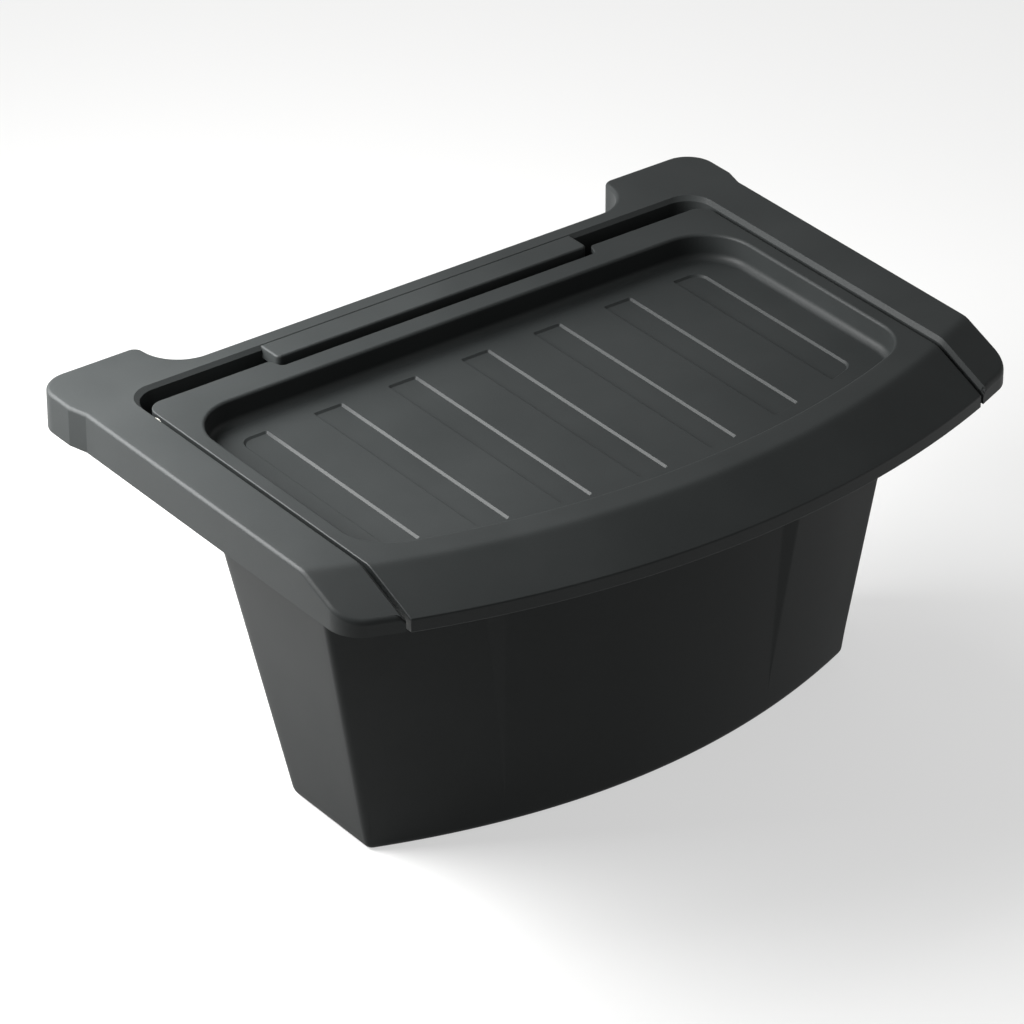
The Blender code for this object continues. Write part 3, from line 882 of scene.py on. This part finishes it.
lid = makeLid()
smoothShade(lid)
lid.data.materials.append(lidPlasticDarkenedForShade)
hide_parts("lid")
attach(lid, "lid")
print("scene: the lid has", len(lid.data.polygons), "faces")

# each lean is a distance sideways for each unit of height
bucketShape = {
    "baseHalf": 163.6 * mm,
    "sideLean": 0.1835,
    "baseFront": 86.2 * mm,
    "frontLean": 0.0364,
    "frontBow": 33.2 * mm,
    "baseRear": 23.5 * mm,
    "rearLean": 0.1313,
    "rearCorner": 12 * mm,
    "wall": 2.6 * mm,
    "bottomRound": 4.0 * mm,
    "bottomSteps": 6,
    "insideRound": 8 * mm,
    "insideSteps": 5,
    "panelEdge": 14.5 * mm,
    "panelInset": 16 * mm,
    "panelLift": 0.8 * mm,
    "mouthBreak": 0.7 * mm,
    "levels": 40,
    "insideLevels": 24,
    "chuteLevels": 8,
    "chuteLow": 168 * mm,
    "chuteRear": 122.5 * mm,
    "facetBase": 159 * mm,
    "facetLean": -0.055,
    "stripInnerBase": 90 * mm,
    "stripInnerLean": 0.03,
    "stripOuterLean": 0.1415,
    "stripStart": 16 * mm,
    "stripRise": 3.3 * mm,
    "stripThinnest": 0.6 * mm,
    "middleSteps": 24,
    "panelSteps": 14,
    "facetSteps": 4,
    "sideSteps": 16,
    "cornerSteps": 8,
    "rearSteps": 30,
    "cornerSoftness": 3.5 * mm,
    "creaseSoftness": 1.3 * mm,
    "facetSoftness": 2.0 * mm,
    "softShare": 0.4,
    "facetSoftShare": 0.3,
    "flangeSide": 218.5 * mm,
    "flangeRear": 130.5 * mm,
    "flangeFront": 6 * mm,
    "flangeThick": 2.2 * mm,
    "flangeEdge": 0.5 * mm,
    "flangeWing": 34 * mm,
    "wingSlope": 6,
    "flangeCornerY": 53 * mm,
    "flangeCornerReach": 5 * mm,
    "flangeSideFront": -93 * mm,
    "sharpDegrees": 24,
}


def softCorner(before, corner, after, reach, steps=5):
    # a corner turned into a short curve that starts and ends at the reach from it
    start = corner + (before - corner).normalized() * reach
    end = corner + (after - corner).normalized() * reach
    curve = []
    for k in range(steps + 1):
        t = k / steps
        curve.append(start * (1 - t) ** 2 + corner * (2 * t * (1 - t)) + end * t ** 2)
    return curve


def between(start, end, steps):
    return [start.lerp(end, k / steps) for k in range(1, steps)]


def bucketFront(z, half):
    # the front wall's line at one height, from the middle to the right corner
    b = bucketShape
    grown = max(0.0, (z - b["stripStart"]) / (frameBox[0][2] - b["stripStart"]))
    stripInner = b["stripInnerBase"] + b["stripInnerLean"] * z
    stripOuter = max(stripInner + b["stripThinnest"],
                     b["stripInnerBase"] + b["stripOuterLean"] * (z - b["stripStart"]))
    facet = b["facetBase"] + b["facetLean"] * z
    # the strip faces straight ahead, so its outer edge stands proud; the panel then falls back to the bow
    rise = b["stripRise"] * grown

    def onBow(x, proud=0.0):
        bow = b["frontBow"] * (x / half) ** 2
        return Vector((x, -(b["baseFront"] + b["frontLean"] * z) + bow - proud))

    middle = [onBow(stripInner * k / b["middleSteps"]) for k in range(b["middleSteps"])]
    inner, outer = onBow(stripInner), onBow(stripOuter, rise)
    shares = [k / b["panelSteps"] for k in range(b["panelSteps"] + 1)]
    panel = [onBow(stripOuter + (facet - stripOuter) * share, rise * (1 - share)) for share in shares]
    corner, edge = onBow(half), panel[-1]
    soft = min(b["creaseSoftness"], b["softShare"] * (outer - inner).length)
    facetWidth = (corner - edge).length
    facetSoft = min(b["facetSoftness"], b["facetSoftShare"] * facetWidth)
    line = middle + softCorner(middle[-1], inner, outer, soft)
    line += softCorner(inner, outer, panel[1], soft) + panel[1:-1]
    line += softCorner(panel[-2], edge, corner, facetSoft)
    line += between(line[-1], corner.lerp(edge, facetSoft / facetWidth), b["facetSteps"])
    return line, corner, edge


def bucketRing(z, inset=0.0, rear=None):
    # one level of the bucket, from the middle of the front round the right side, then mirrored
    b = bucketShape
    half = b["baseHalf"] + b["sideLean"] * z
    rear = rear or b["baseRear"] + b["rearLean"] * min(z, b["chuteLow"])
    front, corner, facet = bucketFront(z, half)
    cornerReach = min(b["cornerSoftness"], b["softShare"] * (corner - facet).length)
    line = front + softCorner(facet, corner, Vector((half, rear)), cornerReach)
    radius = b["rearCorner"]
    line += between(line[-1], Vector((half, rear - radius)), b["sideSteps"])
    line += [Vector((half - radius + radius * cos(turn), rear - radius + radius * sin(turn)))
             for turn in quarterTurns(b["cornerSteps"])]
    line += between(line[-1], Vector((0.0, rear)), b["rearSteps"]) + [Vector((0.0, rear))]
    middleY, halfDepth = (front[0].y + rear) / 2, (rear - front[0].y) / 2
    shrunk = [Vector((p.x * (1 - inset / half), middleY + (p.y - middleY) * (1 - inset / halfDepth)))
              for p in line]
    return [(p.x, p.y, z) for p in shrunk] + [(-p.x, p.y, z) for p in reversed(shrunk[1:-1])]


def flangeRing(z, inset=0.0):
    # the flange's edge, point for point with a bucket ring: two wings in front, then the sides and rear
    b = bucketShape
    half = b["baseHalf"] + b["sideLean"] * frameBox[0][2]
    rearOld = b["baseRear"] + b["rearLean"] * b["chuteLow"]
    sideFront, slope = b["flangeSideFront"], b["wingSlope"]
    points = []
    for x, y, level in bucketRing(frameBox[0][2]):
        side, across = (-1 if x < 0 else 1), abs(x)
        cornerY = -(b["flangeCornerY"] + b["frontLean"] * level)
        if y <= cornerY + b["flangeCornerReach"]:
            wing = max(0.0, slope * across / half - (slope - 1)) ** 2
            movedX = across * (1 + (b["flangeSide"] / half - 1) * wing)
            movedY = y - b["flangeFront"] - b["flangeWing"] * wing
        else:
            share = max(0.0, (y - cornerY) / (rearOld - cornerY))
            movedX = min(b["flangeSide"], b["flangeSide"] * across / half)
            movedY = sideFront + (b["flangeRear"] - sideFront) * min(1.0, share)
        points.append((side * (movedX - inset), movedY - (inset if movedY > 0 else -inset), z))
    return points


def evenShares(steps):
    return [step / steps for step in range(1, steps + 1)]


def makeBucket():
    # rings from the base's recessed panel up the outside, round the flange and down the inside
    b = bucketShape
    wall, edge, mouth = b["wall"], b["flangeEdge"], b["mouthBreak"]
    top = bucketBox[1][2]
    flangeLow = top - b["flangeThick"]
    chuteLow, chuteRear = b["chuteLow"], b["chuteRear"]
    startRear = b["baseRear"] + b["rearLean"] * chuteLow
    rings = [bucketRing(b["panelLift"], b["panelInset"]), bucketRing(0.0, b["panelEdge"])]
    bottom, inside = b["bottomRound"], b["insideRound"]
    for turn in reversed(quarterTurns(b["bottomSteps"])):
        rings.append(bucketRing(bottom * (1 - sin(turn)), bottom * (1 - cos(turn))))
    for step in range(1, b["levels"] + 1):
        rings.append(bucketRing(bottom + (chuteLow - bottom) * step / b["levels"]))
    for share in evenShares(b["chuteLevels"]):
        rings.append(bucketRing(chuteLow + (flangeLow - chuteLow) * share,
                                rear=startRear + (chuteRear - startRear) * share))
    rings += [flangeRing(flangeLow, edge), flangeRing(flangeLow + edge), flangeRing(top - edge),
              flangeRing(top, edge)]
    rings.append(bucketRing(top, wall - mouth, rear=chuteRear))
    rings.append(bucketRing(top - mouth, wall, rear=chuteRear))
    high, low = top - mouth, chuteLow + wall
    for share in evenShares(b["chuteLevels"]):
        rings.append(bucketRing(high + (low - high) * share, wall,
                                rear=chuteRear + (startRear - chuteRear) * share))
    for step in range(1, b["insideLevels"] + 1):
        rings.append(bucketRing(low + (inside - low) * step / b["insideLevels"], wall))
    for turn in quarterTurns(b["insideSteps"])[1:]:
        rings.append(bucketRing(wall + (inside - wall) * (1 - sin(turn)),
                                wall + (inside - wall) * (1 - cos(turn))))
    return skin("bucketShell", rings)


bucket = makeBucket()
carve(bucket, postsAt("flangeHoles", bucketBox[1][2], screws["boreRadius"], screws["holeLength"]))
smoothShade(bucket, bucketShape["sharpDegrees"])
bucket.data.materials.append(bucketPlasticDarkenedForShade)
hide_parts("bucket")
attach(bucket, "frame_and_bucket")
print("scene: the bucket has", len(bucket.data.polygons), "faces")


def screwBody(low, high):
    # one pan-head screw, turned: a domed head below, then a shank with thread ridges and a blunt tip
    s = screws
    seat, head, shank = low + s["headHeight"], s["headRadius"], s["shankRadius"]
    dome = s["headHeight"] - s["headRim"]
    profile = [(0.0, low)]
    profile += [(head * sin(turn), seat - s["headRim"] - dome * cos(turn))
                for turn in quarterTurns(s["domeSteps"])[1:]]
    profile += [(head, seat - s["headBreak"]), (head - s["headBreak"], seat), (shank * s["neckShare"], seat)]
    z = seat + s["threadStart"]
    while z + s["threadPitch"] < high - s["tipLength"]:
        profile += [(shank * s["rootShare"], z), (shank, z + s["threadPitch"] / 2)]
        z += s["threadPitch"]
    profile += [(shank * s["rootShare"], z), (shank * s["tipShare"], high), (0.0, high)]
    builder = bmesh.new()
    turns = [2 * pi * k / s["sides"] for k in range(s["sides"])]
    rows = []
    for radius, height in profile:
        ring = [(radius * cos(t), radius * sin(t), height) for t in turns] if radius else [(0, 0, height)]
        rows.append([builder.verts.new(point) for point in ring])
    for a, b in zip(rows, rows[1:]):
        for k in range(s["sides"]):
            after = (k + 1) % s["sides"]
            around = [a[k % len(a)], a[after % len(a)], b[after % len(b)], b[k % len(b)]]
            builder.faces.new(list(dict.fromkeys(around)))
    bmesh.ops.recalc_face_normals(builder, faces=builder.faces)
    return meshObject("screwBody", builder)


def screwTree(body):
    # a cross recess is cut in the screw's head, and the screw is set on every place
    tree, group, output = newTree("screwSet", ["Recess Length", "Recess Width", "Recess Depth", "Head Z"])
    source = addNode(tree, "GeometryNodeObjectInfo", {"Object": body})
    place = addNode(tree, "ShaderNodeCombineXYZ", {"Z": group.outputs["Head Z"]})
    carved = source.outputs["Geometry"]
    for first, second in (("Recess Length", "Recess Width"), ("Recess Width", "Recess Length")):
        size = addNode(tree, "ShaderNodeCombineXYZ", {
            "X": group.outputs[first], "Y": group.outputs[second], "Z": group.outputs["Recess Depth"]})
        box = addNode(tree, "GeometryNodeMeshCube", {"Size": size.outputs["Vector"]})
        moved = addNode(tree, "GeometryNodeTransform", {
            "Geometry": box.outputs["Mesh"], "Translation": place.outputs["Vector"]})
        cut = addNode(tree, "GeometryNodeMeshBoolean", {
            "Mesh 1": carved, "Mesh 2": moved.outputs["Geometry"]}, operation="DIFFERENCE", solver="EXACT")
        carved = cut.outputs["Mesh"]
    spread = addNode(tree, "GeometryNodeInstanceOnPoints", {
        "Points": group.outputs["Geometry"], "Instance": carved})
    finishTree(tree, group, output, spread.outputs["Instances"])
    return tree


def makeScrews():
    low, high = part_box(screws["names"][0])
    body = screwBody(low[2], high[2])
    piece = pointCloud("frameScrews", screwPlaces(0.0))
    runTree(piece, screwTree(body), {
        "Recess Length": screws["recessLength"], "Recess Width": screws["recessWidth"],
        "Recess Depth": 2 * screws["recessDepth"], "Head Z": low[2], "Material": plated})
    bpy.data.objects.remove(body, do_unlink=True)
    return piece


screwSet = makeScrews()
smoothShade(screwSet)
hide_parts(*screws["names"])
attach(screwSet, "frame_and_bucket")
print("scene: the screw set has", len(screwSet.data.polygons), "faces")

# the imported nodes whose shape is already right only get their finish
finishes = {"hinge_pin": plated, "hinge_bush": nylon, "lid_bumper": rubber, "rest_pad": rubber}
for name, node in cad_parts.items():
    for start, finish in finishes.items():
        if name.startswith(start):
            node.data.materials.clear()
            node.data.materials.append(finish)

# the floor, the lights and the camera
studio = {
    "floor": "#949493",
    "floorGlow": 0.55,
    "floorRoughness": 0.7,
    "floorSize": 12.0,
    "world": "#ffffff",
    "worldStrength": 0.30,
    "cameraPlace": (-1.62817, -2.12589, 1.72578),
    "cameraTarget": (-0.0277, 0.0002, 0.1357),
    "focalLength": 202.44,
    "cameraReach": 50,
    "lightTarget": (0.0, 0.0, 0.12),
    "keyPlace": (-0.36, 0.25, 0.46),
    "keySize": 0.45,
    "keyPower": 15.5,
    "fillPlace": (1.3, -0.7, 0.5),
    "fillSize": 1.0,
    "fillPower": 4.0,
    "backPlace": (-0.2, 1.3, 1.6),
    "backSize": 0.9,
    "backPower": 20.0,
}


def makeFloor():
    mesh = bpy.data.meshes.new("floor")
    half = studio["floorSize"] / 2
    corners = [(-half, -half, 0), (half, -half, 0), (half, half, 0), (-half, half, 0)]
    mesh.from_pydata(corners, [], [(0, 1, 2, 3)])
    floor = bpy.data.objects.new("floor", mesh)
    bpy.context.scene.collection.objects.link(floor)
    material, shader = startMaterial("paintedStudioFloor")[::2]
    shader.inputs["Base Color"].default_value = toLinear(studio["floor"])
    shader.inputs["Roughness"].default_value = studio["floorRoughness"]
    shader.inputs["Emission Color"].default_value = toLinear("#ffffff")
    shader.inputs["Emission Strength"].default_value = studio["floorGlow"]
    mesh.materials.append(material)


def lookAt(item, place, target):
    item.location = place
    item.rotation_euler = (Vector(target) - Vector(place)).to_track_quat("-Z", "Y").to_euler()


def makeLight(name, place, size, power):
    light = bpy.data.lights.new(name, "AREA")
    light.size = size
    light.energy = power
    item = bpy.data.objects.new(name, light)
    bpy.context.scene.collection.objects.link(item)
    lookAt(item, place, studio["lightTarget"])


def makeStudio():
    makeFloor()
    for name in ("key", "fill", "back"):
        makeLight(name + "Light", studio[name + "Place"], studio[name + "Size"], studio[name + "Power"])
    world = bpy.data.worlds.new("studio")
    world.use_nodes = True
    background = world.node_tree.nodes["Background"]
    background.inputs["Color"].default_value = toLinear(studio["world"])
    background.inputs["Strength"].default_value = studio["worldStrength"]
    bpy.context.scene.world = world
    bpy.context.scene.view_settings.view_transform = "Standard"
    camera = bpy.data.cameras.new("camera")
    camera.lens = studio["focalLength"]
    camera.clip_end = studio["cameraReach"]
    item = bpy.data.objects.new("camera", camera)
    bpy.context.scene.collection.objects.link(item)
    lookAt(item, studio["cameraPlace"], studio["cameraTarget"])
    bpy.context.scene.camera = item


makeStudio()
print("scene: the studio is set")
